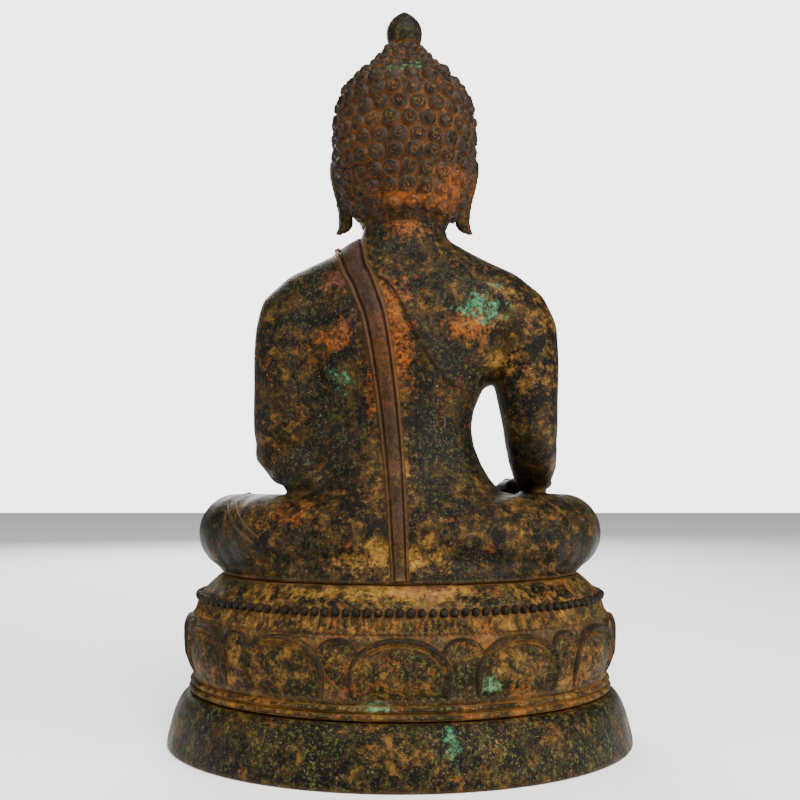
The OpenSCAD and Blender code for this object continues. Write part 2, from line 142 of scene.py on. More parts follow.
# Rounded lumps of clay: (centre, radii) or (centre, radii, turn in degrees).
def lumps(name, items, rings=12, spokes=20):
    ball, ballFaces = ballPoints(rings, spokes)
    points, faces = [], []
    for item in items:
        turn = Euler([math.radians(a) for a in item[2]]) if len(item) > 2 else Euler()
        matrix = Matrix.LocRotScale(Vector(item[0]), turn, Vector(item[1]))
        faces += [tuple(len(points) + i for i in f) for f in ballFaces]
        points += [matrix @ p for p in ball]
    return fromPoints(name, points, faces)


# Lumps strung along a route of (x, y, z, radius), close enough to read as one limb.
def strung(route, flatness=1.0):
    items = []
    for a, b in zip(route, route[1:]):
        a, b = Vector(a), Vector(b)
        steps = max(2, int((b - a).length / (0.4 * min(a[3], b[3]))))
        for i in range(steps):
            p = a.lerp(b, i / steps)
            items.append((p[:3], (p[3], p[3], p[3] * flatness)))
    items.append((route[-1][:3], (route[-1][3], route[-1][3], route[-1][3] * flatness)))
    return items


# The first piece takes in the others.
def joinPieces(parts):
    focus(parts[0])
    for part in parts[1:]:
        part.select_set(True)
    if len(parts) > 1:
        bpy.ops.object.join()
    return parts[0]


# Join, remesh to one skin, and smooth it as a modeller smooths wax.
def fuse(parts, name, voxel, rounds):
    piece = joinPieces(parts)
    piece.name = name
    skin = piece.modifiers.new("Skin", "REMESH")
    skin.mode = "VOXEL"
    skin.voxel_size = voxel * mm
    skin.use_smooth_shade = True
    soft = piece.modifiers.new("Soft", "SMOOTH")
    soft.factor = 0.5
    soft.iterations = rounds
    applyAll(piece)
    return piece


def treeOf(piece):
    mesh = piece.data
    return BVHTree.FromPolygons([v.co for v in mesh.vertices], [p.vertices[:] for p in mesh.polygons])


# From 0 at a start to 1 a given way further on.
def ramp(value, start, way):
    return min(1, max(0, (value - start) / way))


# A piece made of the faces that pass a test of their centre.
def cutOut(whole, name, wanted):
    mesh = bmesh.new()
    mesh.from_mesh(whole.data)
    spare = [f for f in mesh.faces if not wanted(f)]
    bmesh.ops.delete(mesh, geom=spare, context="FACES")
    data = bpy.data.meshes.new(name)
    mesh.to_mesh(data)
    mesh.free()
    return place(data, name)


# A smooth curve through points of any length.
def curveThrough(points, perSpan):
    points = [Vector(p) for p in points]
    run = [points[0] * 2 - points[1]] + points + [points[-1] * 2 - points[-2]]
    out = []
    for i in range(1, len(run) - 2):
        for k in range(perSpan):
            t = k / perSpan
            a, b, c, d = run[i - 1], run[i], run[i + 1], run[i + 2]
            out.append(0.5 * (2 * b + (c - a) * t + (2 * a - 5 * b + 4 * c - d) * t * t
                              + (3 * b - a - 3 * c + d) * t ** 3))
    return out + [points[-1]]


# finishes: colours on the bronze and where they lie; one of them is painted shade for the core hole
rust = (0.30, 0.078, 0.011)
ochreDust = (0.33, 0.17, 0.028)
verdigris = (0.075, 0.30, 0.15)
mossGreen = (0.100, 0.115, 0.022)
paleSpeck = (0.42, 0.30, 0.16)
waterRun = (0.22, 0.15, 0.07)
cuprite = (0.15, 0.045, 0.036)
# near-black, for the dark zones on the arms, the back and the left sides of the throne
pitch = (0.0035, 0.0030, 0.0024)
# painted shade: the near-black of the open core hole's dark inside
shadeBlack = (0.004, 0.004, 0.004)

# Where deposits and near-black zones lie: centre, reach, colour, how much of it is covered, size of its
# patches.
deposits = [
    # near-black zones on both arms, the left shoulder, the lower right back, the left sides of the foot and
    # drum, and the right hip
    ((96, 20, 250), (26, 60, 60), pitch, 0.75, 60),
    ((-90, 20, 215), (26, 50, 34), pitch, 0.70, 60),
    ((60, 40, 322), (40, 40, 22), pitch, 0.60, 50),
    ((-30, 46, 212), (26, 30, 44), pitch, 0.70, 60),
    ((110, 70, 16), (60, 70, 24), pitch, 0.70, 50),
    ((112, 60, 66), (34, 60, 30), pitch, 0.60, 60),
    ((-84, 20, 150), (50, 60, 26), pitch, 0.55, 60),
    ((-50, 52, 281), (40, 40, 25), verdigris, 0.48, 190),
    ((-58, 40, 300), (30, 30, 14), verdigris, 0.30, 130),
    ((-44, 56, 268), (36, 26, 22), rust, 0.55, 110),
    ((42, 52, 262), (28, 24, 40), rust, 0.45, 100),
    ((36, 52, 236), (26, 24, 28), verdigris, 0.30, 150),
    ((40, 50, 300), (26, 26, 16), cuprite, 0.55, 120),
    ((-3, 40, 442), (36, 50, 20), verdigris, 0.42, 170),
    ((14, 114, 44), (22, 18, 8), verdigris, 0.60, 180),
    ((-52, 104, 56), (16, 20, 14), verdigris, 0.60, 180),
    ((-29, 120, 26), (12, 20, 26), verdigris, 0.45, 170),
    ((31, 55, 274), (18, 24, 24), cuprite, 0.55, 110),
    ((-18, 92, 107), (40, 32, 9), cuprite, 0.70, 90),
    ((40, 108, 50), (40, 18, 9), cuprite, 0.45, 110),
    ((-3, 40, 338), (40, 26, 20), rust, 0.45, 140),
    ((-34, 36, 362), (34, 38, 34), rust, 0.70, 140),
    ((-3, 52, 356), (40, 22, 14), rust, 0.75, 120),
    ((-50, 4, 372), (16, 22, 40), rust, 0.45, 160),
    ((7, 60, 256), (28, 34, 84), rust, 0.70, 130),
    ((2, 66, 180), (24, 34, 50), ochreDust, 0.45, 170),
    ((6, 84, 126), (70, 34, 22), ochreDust, 0.55, 110),
    ((60, 60, 150), (50, 50, 28), rust, 0.35, 100),
    ((-80, 40, 128), (40, 60, 18), rust, 0.40, 120),
    ((0, 84, 106), (128, 60, 10), ochreDust, 0.60, 80),
    ((-64, 50, 248), (16, 26, 16), ochreDust, 0.65, 200),
    ((-3, 10, 473), (17, 17, 4), ochreDust, 0.90, 260),
]


# Adds nodes to a material and links them.
class Sheet:
    def __init__(self, material):
        self.tree = material.node_tree

    def add(self, kind, links=None, **settings):
        node = self.tree.nodes.new(kind)
        for key, value in settings.items():
            setattr(node, key, value)
        for key, value in (links or {}).items():
            if isinstance(value, bpy.types.NodeSocket):
                self.tree.links.new(value, node.inputs[key])
            else:
                node.inputs[key].default_value = value
        return node

    def noise(self, spot, scale, detail=4, rough=0.6):
        return self.add("ShaderNodeTexNoise", {"Vector": spot, "Scale": scale, "Detail": detail,
                                               "Roughness": rough}).outputs["Fac"]

    def span(self, value, low, high, toLow=0.0, toHigh=1.0):
        return self.add("ShaderNodeMapRange", {"Value": value, "From Min": low, "From Max": high,
                                               "To Min": toLow, "To Max": toHigh}).outputs["Result"]

    def math(self, how, a, b=0.0):
        return self.add("ShaderNodeMath", {0: a, 1: b}, operation=how).outputs[0]

    def mix(self, share, a, b):
        node = self.add("ShaderNodeMix", {0: share}, data_type="RGBA")
        for slotIndex, value in ((6, a), (7, b)):
            if isinstance(value, bpy.types.NodeSocket):
                self.tree.links.new(value, node.inputs[slotIndex])
            else:
                node.inputs[slotIndex].default_value = (*value, 1)
        return node.outputs[2]


def patina(name, look):
    material = bpy.data.materials.new(name)
    material.use_nodes = True
    sheet = Sheet(material)
    shader = material.node_tree.nodes["Principled BSDF"]
    spot = sheet.add("ShaderNodeTexCoord").outputs["Object"]
    shifted = sheet.add("ShaderNodeMapping", {"Vector": spot, "Location": (3.1, 1.7, 4.3)}).outputs[0]
    broad = sheet.noise(spot, 17, 6, 0.72)
    middle = sheet.noise(spot, 74, 8, 0.76)
    other = sheet.noise(shifted, 50, 8, 0.78)
    small = sheet.noise(shifted, 180, 8, 0.8)
    fine = sheet.noise(shifted, 430, 6, 0.74)
    grain = sheet.noise(spot, 1700, 2)

    # coats of patina, each broken up at every scale: black skin, brown, blue-black, gold earth, rust, moss
    colour = sheet.mix(sheet.span(sheet.math("ADD", middle, sheet.math("MULTIPLY", small, 0.5)), 0.68, 0.84),
                       look["black"], look["brown"])
    colour = sheet.mix(sheet.span(broad, 0.51, 0.60, 0, 0.85), colour, look["blue"])
    earth = sheet.math("ADD", small, sheet.math("MULTIPLY", broad, -0.55))
    earth = sheet.math("ADD", earth, sheet.math("MULTIPLY", middle, 0.5))
    earth = sheet.span(earth, 0.60 - 0.2 * look["earth"], 0.78 - 0.2 * look["earth"], 0, 0.9)
    colour = sheet.mix(earth, colour, look["earthColour"])
    rusty = sheet.math("ADD", other, sheet.math("MULTIPLY", small, 0.45))
    rusty = sheet.span(rusty, 0.92 - 0.25 * look["rust"], 1.04 - 0.25 * look["rust"], 0, 0.85)
    colour = sheet.mix(rusty, colour, look["rustColour"])
    moss = sheet.math("MULTIPLY", sheet.span(fine, 0.53, 0.64), sheet.span(broad, 0.40, 0.56, 0.15, 1))
    colour = sheet.mix(sheet.math("MULTIPLY", moss, look["moss"]), colour, mossGreen)
    specks = sheet.math("MULTIPLY", sheet.span(sheet.noise(spot, 800, 4, 0.7), 0.60, 0.68),
                        sheet.span(other, 0.42, 0.58))
    colour = sheet.mix(sheet.math("MULTIPLY", specks, look["specks"]), colour, paleSpeck)

    for centre, reach, tint, cover, patch in deposits:
        away = sheet.add("ShaderNodeVectorMath", {0: spot, 1: [c * mm for c in centre]}, operation="SUBTRACT")
        away = sheet.add("ShaderNodeVectorMath", {0: away.outputs[0], 1: [r * mm for r in reach]},
                         operation="DIVIDE")
        far = sheet.add("ShaderNodeVectorMath", {0: away.outputs[0]}, operation="LENGTH").outputs["Value"]
        near = sheet.span(far, 1.25, 0.2, 0, 1)
        patches = sheet.math("ADD", sheet.noise(shifted, patch, 8, 0.8), sheet.math("MULTIPLY", near, 0.38))
        mask = sheet.span(patches, 0.93 - 0.25 * cover, 1.07 - 0.25 * cover, 0, 0.4 + 0.5 * cover)
        mask = sheet.math("MULTIPLY", mask, sheet.span(fine, 0.38, 0.56, 0.15, 1))
        mask = sheet.math("MULTIPLY", mask, sheet.span(near, 0, 0.25, 0, look["zones"]))
        colour = sheet.mix(mask, colour, tint)

    # thin light runs where water has gone down, earth kept in the hollows, metal rubbed bare on edges
    runs = sheet.add("ShaderNodeMapping", {"Vector": spot, "Scale": (520, 520, 22)}).outputs[0]
    runMask = sheet.span(sheet.noise(runs, 1, 3, 0.7), 0.60, 0.74)
    runMask = sheet.math("MULTIPLY", runMask, sheet.span(broad, 0.44, 0.56))
    colour = sheet.mix(sheet.math("MULTIPLY", runMask, look["runs"]), colour, waterRun)
    hollow = sheet.add("ShaderNodeAmbientOcclusion", {"Distance": look["hollowReach"] * mm}, samples=6)
    deep = sheet.span(hollow.outputs["AO"], 0.80, 0.42)
    dust = sheet.math("MULTIPLY", deep, sheet.span(other, 0.36, 0.56, 0.1, look["dust"]))
    colour = sheet.mix(dust, colour, look["dustColour"])
    worn = sheet.span(sheet.add("ShaderNodeNewGeometry").outputs["Pointiness"], 0.515, 0.58, 0, look["wear"])
    colour = sheet.mix(sheet.math("MULTIPLY", worn, sheet.span(fine, 0.30, 0.5)), colour, look["worn"])
    material.node_tree.links.new(colour, shader.inputs["Base Color"])

    rough = sheet.span(other, 0.35, 0.65, look["rough"][0], look["rough"][1])
    rough = sheet.math("ADD", rough, sheet.math("MULTIPLY", sheet.math("ADD", dust, moss), 0.2))
    material.node_tree.links.new(rough, shader.inputs["Roughness"])
    shader.inputs["Metallic"].default_value = look["metal"]
    shader.inputs["IOR"].default_value = 1.45
    shader.inputs["Specular IOR Level"].default_value = 0.09  # a low shine keeps the dark skin dark
    pits = sheet.math("ADD", fine, sheet.math("MULTIPLY", grain, 0.3))
    pits = sheet.math("ADD", pits, sheet.math("MULTIPLY", middle, 1.6))
    bump = sheet.add("ShaderNodeBump", {"Height": pits, "Strength": look["bump"], "Distance": 0.0012})
    material.node_tree.links.new(bump.outputs[0], shader.inputs["Normal"])
    return material


plainLook = {
    "black": (0.0024, 0.0019, 0.0014), "brown": (0.028, 0.0150, 0.0045), "blue": (0.0036, 0.0036, 0.0038),
    "earth": 0.30, "earthColour": (0.16, 0.078, 0.012), "rust": 0.45, "rustColour": (0.135, 0.036, 0.006),
    "moss": 0.32, "specks": 0.35, "runs": 0.30, "zones": 1.0, "hollowReach": 6, "dust": 0.5,
    "dustColour": (0.17, 0.070, 0.014), "wear": 0.45, "worn": (0.065, 0.045, 0.030), "rough": (0.34, 0.60),
    "metal": 0.25, "bump": 0.45,
}
bodyBronze = patina("bodyBronze", plainLook)
hairBronze = patina("hairBronze", plainLook | {
    "brown": (0.018, 0.012, 0.007), "earth": 0.1, "rust": 0.35, "moss": 0.4, "runs": 0.0, "hollowReach": 5,
    "dust": 1.0, "dustColour": (0.27, 0.090, 0.016), "wear": 0.5, "worn": (0.040, 0.030, 0.026)})
beadBronze = patina("beadBronze", plainLook | {
    "brown": (0.010, 0.007, 0.004), "earth": 0.0, "rust": 0.1, "moss": 0.2, "runs": 0.0, "hollowReach": 2,
    "dust": 0.7, "specks": 0.1, "zones": 0.3, "wear": 0.1})
throneBronze = patina("throneBronze", plainLook | {
    "black": (0.0070, 0.0045, 0.0020), "brown": (0.058, 0.027, 0.0065), "blue": (0.010, 0.007, 0.004),
    "earth": 0.50, "earthColour": (0.23, 0.108, 0.017), "rust": 0.62, "rustColour": (0.20, 0.055, 0.009),
    "moss": 0.75, "specks": 0.6, "dust": 0.6, "dustColour": (0.20, 0.088, 0.016), "rough": (0.48, 0.74),
    "metal": 0.1, "wear": 0.3, "bump": 0.55})
seatBronze = patina("seatBronze", plainLook | {
    "brown": (0.040, 0.021, 0.006), "earth": 0.55, "earthColour": (0.22, 0.11, 0.018), "rust": 0.55,
    "moss": 0.6, "specks": 0.5})
footBronze = patina("footBronze", plainLook | {
    "brown": (0.024, 0.015, 0.005), "earth": 0.34, "moss": 0.7, "specks": 0.5, "runs": 0.4, "rust": 0.48,
    "dust": 0.15})
sashBronze = patina("sashBronze", plainLook | {
    "black": (0.0040, 0.0026, 0.0030), "brown": (0.020, 0.0075, 0.0075), "blue": (0.009, 0.0055, 0.0070),
    "runs": 0.1, "earth": 0.0, "rust": 0.25, "moss": 0.1, "specks": 0.15, "zones": 0.18, "dust": 0.15,
    "hollowReach": 1.5, "wear": 0.45, "worn": (0.15, 0.080, 0.020)})
petalBronze = patina("petalBronze", plainLook | {
    "black": (0.0060, 0.0040, 0.0020), "brown": (0.044, 0.021, 0.0055), "blue": (0.008, 0.0055, 0.0036),
    "earth": 0.42, "earthColour": (0.20, 0.095, 0.015), "rust": 0.58, "rustColour": (0.19, 0.056, 0.010),
    "moss": 0.8, "specks": 0.5, "runs": 0.2, "dust": 0.8, "dustColour": (0.21, 0.100, 0.021),
    "rough": (0.46, 0.74), "metal": 0.1, "wear": 1.0, "worn": (0.010, 0.0075, 0.0055), "bump": 0.55})
coreIron = patina("coreIron", plainLook | {"brown": (0.07, 0.024, 0.008), "rust": 0.9, "metal": 0.1})
print("finishes made")

# throne: sizes read from the frame
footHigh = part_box("foot")[1]
footR = footHigh.x / mm
drop = footR - footHigh.y / mm
footTop = footHigh.z / mm
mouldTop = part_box("lower_moulding")[1].z / mm
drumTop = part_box("lotus_drum")[1].z / mm
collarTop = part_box("stamen_collar")[1].z / mm
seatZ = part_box("seat_cap")[1].z / mm


def ovalPoint(angle, r, z):
    return Vector((r * math.cos(angle), (r - drop) * math.sin(angle), z))


# Cut the corners of an outline, so that cast edges come out rounded.
def rounded(outline, rounds):
    for _ in range(rounds):
        after = outline[1:] + outline[:1]
        outline = [q for a, b in zip(outline, after)
                   for q in ((0.8 * a[0] + 0.2 * b[0], 0.8 * a[1] + 0.2 * b[1]),
                             (0.2 * a[0] + 0.8 * b[0], 0.2 * a[1] + 0.8 * b[1]))]
    return outline


# Spin an outline of (radius, height) round Z, then draw it in from front and back to the throne's oval.
def turned(name, outline, steps=180, oval=True, ripple=None):
    edges = [(i, (i + 1) % len(outline)) for i in range(len(outline))]
    piece = fromPoints(name, [(r, 0, z) for r, z in outline], [], edges)
    focus(piece)
    bpy.ops.object.mode_set(mode="EDIT")
    bpy.ops.mesh.select_all(action="SELECT")
    bpy.ops.mesh.spin(steps=steps, angle=2 * math.pi, center=(0, 0, 0), axis=(0, 0, 1))
    bpy.ops.object.mode_set(mode="OBJECT")
    tidyMesh(piece)
    for v in piece.data.vertices if oval else ():
        r = math.hypot(v.co.x, v.co.y)
        angle = math.atan2(v.co.y, v.co.x)
        wave = ripple(angle, r / mm) * mm if ripple else 0
        v.co.x = (r + wave) * math.cos(angle)
        v.co.y = (r + wave - drop * mm) * math.sin(angle)
    smoothShade(piece, 50)
    return piece


shelfR = footR - 23.5
foot = turned("plinthFoot", rounded([
    (footR, 0), (footR, 4), (footR - 1.2, 9), (footR - 2.6, 15), (footR - 4.6, 22), (footR - 7.6, 28.5),
    (footR - 9.6, 31.5), (footR - 12.5, 34), (footR - 16.5, footTop), (shelfR, footTop),
    (shelfR, footTop - 5), (footR - 17, footTop - 7), (footR - 11, 20), (footR - 7.5, 8),
    (footR - 6.5, 0)], 2))
finishPiece(foot, footBronze, ["foot"])

mould = turned("filletBand", rounded([
    (shelfR, footTop), (footR - 17.2, footTop), (footR - 17.4, footTop + 0.8), (footR - 14.4, footTop + 1),
    (footR - 13.4, footTop + 2.6), (footR - 14.4, footTop + 4.2), (footR - 16.6, footTop + 4.5),
    (footR - 16.6, footTop + 5.6), (footR - 15, footTop + 5.9), (footR - 14.2, footTop + 7.2),
    (footR - 15, footTop + 8.6), (footR - 17.4, footTop + 9), (footR - 17.8, mouldTop),
    (shelfR, mouldTop)], 2))
finishPiece(mould, throneBronze, ["lower_moulding"])

# the drum's wall, as (radius beside the foot's, height above the band)
drumWall = [(-15.5, 0), (-13.8, 6), (-13, 14), (-12.8, 22), (-13.6, 30), (-16.5, 38)]


# The drum's radius at a share of its height.
def drumR(share):
    z = min(max(share, 0), 1) * (drumTop - mouldTop)
    for (r0, z0), (r1, z1) in zip(drumWall, drumWall[1:]):
        if z <= z1:
            return footR + r0 + (r1 - r0) * (z - z0) / (z1 - z0)
    return footR + drumWall[-1][0]


drum = turned("petalDrum", [(footR + r - 0.6, mouldTop + z) for r, z in drumWall]
              + [(footR + r - 5.6, mouldTop + z) for r, z in reversed(drumWall)])
finishPiece(drum, throneBronze, ["lotus_drum"])

# Heights across a petal from its rim to its middle: (share of the outline, height).
bigPetal = {"halfWidth": 0.212, "low": -0.12, "middle": 0.36, "high": 0.965, "crown": 1.0, "rings": [
    (1.0, -1.0), (1.0, 1.6), (0.975, 2.5), (0.93, 2.7), (0.89, 2.1), (0.865, 1.1), (0.81, 1.2),
    (0.78, 2.1), (0.755, 2.1), (0.73, 1.2), (0.55, 2.2), (0.38, 2.9), (0.2, 3.3), (0.05, 3.4)]}
smallPetal = {"halfWidth": 0.098, "low": -0.06, "middle": 0.58, "high": 0.955, "crown": 1.1, "rings": [
    (1.0, -1.0), (1.0, 0.3), (0.93, 1.2), (0.84, 1.3), (0.77, 0.6), (0.6, 0.7), (0.3, 1.0), (0.06, 1.1)]}


# An arch: round over the top, straight-sided below, where its foot runs down behind the band.
def petalSet(name, look, count, shift, around=48):
    points, faces = [], []
    for k in range(count):
        middle = math.pi / 2 + (k + shift) * 2 * math.pi / count
        start = len(points)
        for share, height in look["rings"]:
            for j in range(around):
                a = 2 * math.pi * j / around
                square = 0.92 if math.sin(a) >= 0 else 0.32
                across = math.copysign(abs(math.cos(a)) ** square, math.cos(a)) * share
                up = math.copysign(abs(math.sin(a)) ** square, math.sin(a)) * share
                reach = look["high"] - look["middle"] if up > 0 else look["middle"] - look["low"]
                rise = look["middle"] + reach * up
                lip = 1 + look["crown"] * max(0, up) ** 2 * (share > 0.85)
                fade = ramp(up, -0.86, 0.9)
                lift = height * lip * fade - 1.4 * (1 - fade) if height > 0 else height - 1
                points.append(ovalPoint(middle + look["halfWidth"] * across * (1 + 0.07 * min(0, up)),
                                        drumR(rise) + lift, mouldTop + rise * (drumTop - mouldTop)))
        rings = len(look["rings"])
        faces += [tuple(start + i for i in f) for f in gridFaces(rings, around, loopColumns=True)]
        last = start + (rings - 1) * around
        faces.append(tuple(range(last, last + around)))
        faces.append(tuple(reversed(range(start, start + around))))
    piece = fromPoints(name, points, faces)
    tidyMesh(piece)
    smoothShade(piece, 60)
    return piece


petalCount = 12
finishPiece(petalSet("largePetals", bigPetal, petalCount, 0), petalBronze, ["large_petals"])
finishPiece(petalSet("smallPetals", smallPetal, petalCount, 0.5), petalBronze,
            ["small_petals"])

stamenLines = 220


def stamenWave(angle, r):
    return 0.55 * math.cos(angle * stamenLines) if r > footR - 20.5 else 0


collar = turned("stamenCollar", [
    (footR - 16.4, drumTop), (footR - 16.0, drumTop + 1.2), (footR - 17.2, drumTop + 2.2),
    (footR - 18, drumTop + 4.5), (footR - 18.8, drumTop + 7.5), (footR - 19.3, collarTop - 1),
    (footR - 20.6, collarTop), (footR - 25, collarTop), (footR - 22, drumTop)],
    steps=stamenLines * 4, ripple=stamenWave)
finishPiece(collar, throneBronze, ["stamen_collar"])

seat = turned("seatPlate", [
    (footR - 20.5, collarTop), (footR - 21.6, collarTop + 2.6), (footR - 21.4, collarTop + 4.2),
    (footR - 23, collarTop + 6.2), (footR - 26.5, collarTop + 9.5), (footR - 30, seatZ - 3.2),
    (footR - 33, seatZ - 0.8), (footR - 36, seatZ), (drop + 6, seatZ), (drop + 6, seatZ - 5),
    (footR - 41, seatZ - 5), (footR - 34, seatZ - 8), (footR - 28, collarTop + 3), (footR - 26, collarTop)])
lid = turned("seatLid", [(drop + 6.5, seatZ), (drop + 6.5, seatZ - 5), (drop + 0.1, seatZ - 5),
                         (drop + 0.1, seatZ)])
joinPieces([seat, lid])
finishPiece(seat, seatBronze, ["seat_cap"])

beadLook = {"count": 120, "radius": 2.6, "sizes": (0.92, 1.06), "ringR": footR - 19.4, "z": collarTop + 2.2,
            "stray": 0.25}


def beadRow():
    random.seed(11)
    samples = [ovalPoint(2 * math.pi * i / 3000, beadLook["ringR"], 0) for i in range(3001)]
    steps = [(b - a).length for a, b in zip(samples, samples[1:])]
    pitch = sum(steps) / beadLook["count"]
    items = []
    gone, want = 0, 0
    for i, step in enumerate(steps):
        if gone >= want:
            r = beadLook["radius"] * random.uniform(*beadLook["sizes"])
            up = Vector((0, 0, beadLook["z"] + random.uniform(-beadLook["stray"], beadLook["stray"])))
            items.append((samples[i] + up, (r, r, r * 1.04)))
            want += pitch
        gone += step
    piece = lumps("beadRow", items, 8, 12)
    smoothShade(piece, 80)
    return piece


finishPiece(beadRow(), beadBronze, ["bead_row"])
print("throne made")

# figure: the cast sections and clay lumps that fill them out
axisX = -3
skinLook = {"voxel": 1.6, "rounds": 14}
skinNames = ["torso", "pelvis", "right_arm", "left_arm", "right_leg", "left_leg", "neck"]
filler = lumps("filler", [
    # shoulders, armpits and shoulder blades
    ((-70, 25, 286), (30, 26, 31)), ((64, 25, 286), (30, 26, 31)), ((-3, 22, 290), (70, 27, 27)),
    ((-52, 24, 262), (26, 29, 30)), ((46, 24, 262), (26, 29, 30)), ((-40, 36, 274), (26, 23, 32)),
    ((34, 36, 274), (26, 23, 32)), ((-3, 17, 326), (33, 25, 14)), ((-24, 18, 318), (34, 23, 10), (0, -16, 0)),
    ((18, 18, 318), (34, 23, 10), (0, 16, 0)),
    # left arm hangs in the robe, so the valley beside it is shallow
    ((58, 27, 222), (16, 20, 44)), ((60, 22, 194), (18, 20, 22)),
    # chest, belly, hips
    ((-22, -1, 266), (26, 12, 22)), ((16, -1, 266), (26, 12, 22)), ((-3, 10, 188), (38, 17, 24)),
    ((-3, 30, 176), (52, 30, 26)), ((-60, 18, 140), (38, 44, 25)), ((54, 18, 140), (38, 44, 25)),
    ((-34, 48, 136), (44, 37, 25)), ((28, 48, 136), (44, 37, 25)), ((-3, -20, 138), (84, 40, 22)),
    ((-84, -6, 137), (36, 36, 25.5)), ((80, -6, 137), (36, 36, 25.5)), ((-3, -50, 136), (70, 22, 20)),
    # the left elbow runs down into the thigh
    ((70, 24, 214), (17, 17, 26)), ((74, 22, 196), (20, 20, 19)), ((66, 22, 182), (22, 24, 16)),
    ((56, 28, 172), (22, 26, 14)),
    # elbow and wrist cores, neck core
    ((-91, 22, 196), (17, 17, 16)), ((79, 18, 194), (19, 17, 17)), ((-3, 15, 336), (29, 26, 16)),
    # the lap spreads on the seat
    ((0, 2, seatZ + 2), (122, 92, 8)), ((0, 3, seatZ + 7), (117, 87, 14)),
] + strung([(112 * math.cos(a), -4 + 64 * math.sin(a), seatZ + 26.5, 26.3)
            for a in [math.radians(d) for d in range(-20, 201, 20)]]))
skinWhole = fuse([copyNode(n) for n in skinNames] + [filler], "skinWhole", skinLook["voxel"],
                 skinLook["rounds"])

# the arms hang a little closer, and the shoulders slope, as smoothed wax does
shoulderLook = {"squeeze": 0.042, "squeezeFrom": 172, "squeezeOver": 24, "drop": 7.5, "out": 84, "spread": 26,
                "slopeFrom": 262, "slopeOver": 34, "softOut": 34, "softOutOver": 16, "softFrom": 246,
                "softOver": 20, "softness": 0.6, "rounds": 90}
shoulders = skinWhole.vertex_groups.new(name="shoulders")
for v in skinWhole.data.vertices:
    share = ramp(v.co.z / mm, shoulderLook["squeezeFrom"], shoulderLook["squeezeOver"])
    v.co.x = axisX * mm + (v.co.x - axisX * mm) * (1 - shoulderLook["squeeze"] * share)
    out = abs(v.co.x / mm - axisX)
    slope = math.exp(-((out - shoulderLook["out"]) / shoulderLook["spread"]) ** 2)
    slope *= ramp(v.co.z / mm, shoulderLook["slopeFrom"], shoulderLook["slopeOver"])
    v.co.z -= shoulderLook["drop"] * mm * slope
    weight = ramp(out, shoulderLook["softOut"], shoulderLook["softOutOver"])
    weight *= ramp(v.co.z / mm, shoulderLook["softFrom"], shoulderLook["softOver"])
    if weight > 0:
        shoulders.add([v.index], weight, "REPLACE")
roundOff = skinWhole.modifiers.new("Round", "SMOOTH")
roundOff.vertex_group = "shoulders"
roundOff.factor = shoulderLook["softness"]
roundOff.iterations = shoulderLook["rounds"]
applyAll(skinWhole)
skinTree = treeOf(skinWhole)
print("skin fused", len(skinWhole.data.polygons))

# the skin is parted where the CAD sections meet
nodeTrees = {n: treeOf(nodes[n]) for n in skinNames}


def ownerOf(face):
    centre = face.calc_center_median()
    return min(skinNames, key=lambda n: nodeTrees[n].find_nearest(centre)[3])


ownerMesh = bmesh.new()
ownerMesh.from_mesh(skinWhole.data)
ownerMesh.faces.ensure_lookup_table()
owners = [ownerOf(f) for f in ownerMesh.faces]
ownerMesh.free()
skinPieces = {"torso": "torsoCast", "pelvis": "lapCast", "right_arm": "rightArmCast",
              "left_arm": "leftArmCast", "right_leg": "rightLegCast", "left_leg": "leftLegCast",
              "neck": "neckCast"}
for nodeName, pieceName in skinPieces.items():
    part = cutOut(skinWhole, pieceName, lambda f: owners[f.index] == nodeName)
    normals = part.modifiers.new("Normals", "DATA_TRANSFER")
    normals.object = skinWhole
    normals.use_loop_data = True
    normals.data_types_loops = {"CUSTOM_NORMAL"}
    normals.loop_mapping = "NEAREST_NORMAL"
    applyAll(part)
    finishPiece(part, bodyBronze, [nodeName])
print("skin parted")


stripLook = {"perSpan": 8, "startAway": 200, "dropFrom": 120, "stray": 5, "core": 22}


# Strips of robe, laid on the skin. Route stations are (x, z, turn): the strip is dropped on the skin
# from behind at turn 0, from above at 90 and from in front at 180, towards the line y = core.
def strip(name, route, outline, core=stripLook["core"], taper=(1, 1), tree=skinTree):
    stations = curveThrough(route, stripLook["perSpan"])
    aims, spots = [], []
    for x, z, degrees in stations:
        turn = math.radians(degrees)
        aims.append(Vector((0, -math.cos(turn), -math.sin(turn))))
        hit = tree.ray_cast((Vector((x, core, z)) - aims[-1] * stripLook["startAway"]) * mm, aims[-1])
        spots.append(hit[0] / mm if hit[0] else Vector((x, core, z)))
    rows = []
    for i, spot in enumerate(spots):
        along = spots[min(i + 2, len(spots) - 1)] - spots[max(i - 2, 0)]
        across = aims[i].cross(along).normalized()
        wide = taper[0] + (taper[1] - taper[0]) * i / (len(spots) - 1)
        row = []
        for side, height in outline:
            spread = spot + across * side * wide
            hit = tree.ray_cast((spread - aims[i] * stripLook["dropFrom"]) * mm, aims[i])
            ground = hit[0] / mm if hit[0] else spread
            if (ground - spread).length > stripLook["stray"]:
                # the ray went past the skin or met another part of it
                ground = tree.find_nearest(spread * mm)[0] / mm
            row.append(ground - aims[i] * height)
        rows.append(row)
    piece = fromPoints(name, [p for row in rows for p in row], gridFaces(len(rows), len(outline)))
    tidyMesh(piece)
    return piece


# Faces of an open strip are turned to the outside before it gets its thickness.
def stripUp(piece, toward, thickness=1.8):
    total = sum(Vector(p.normal).dot(toward(p.center)) for p in piece.data.polygons)
    if total < 0:
        piece.data.flip_normals()
    solidify(piece, thickness)
    smoothShade(piece, 55)
    return piece


def outward(centre):
    return Vector((centre.x - axisX * mm, centre.y - stripLook["core"] * mm, 0))


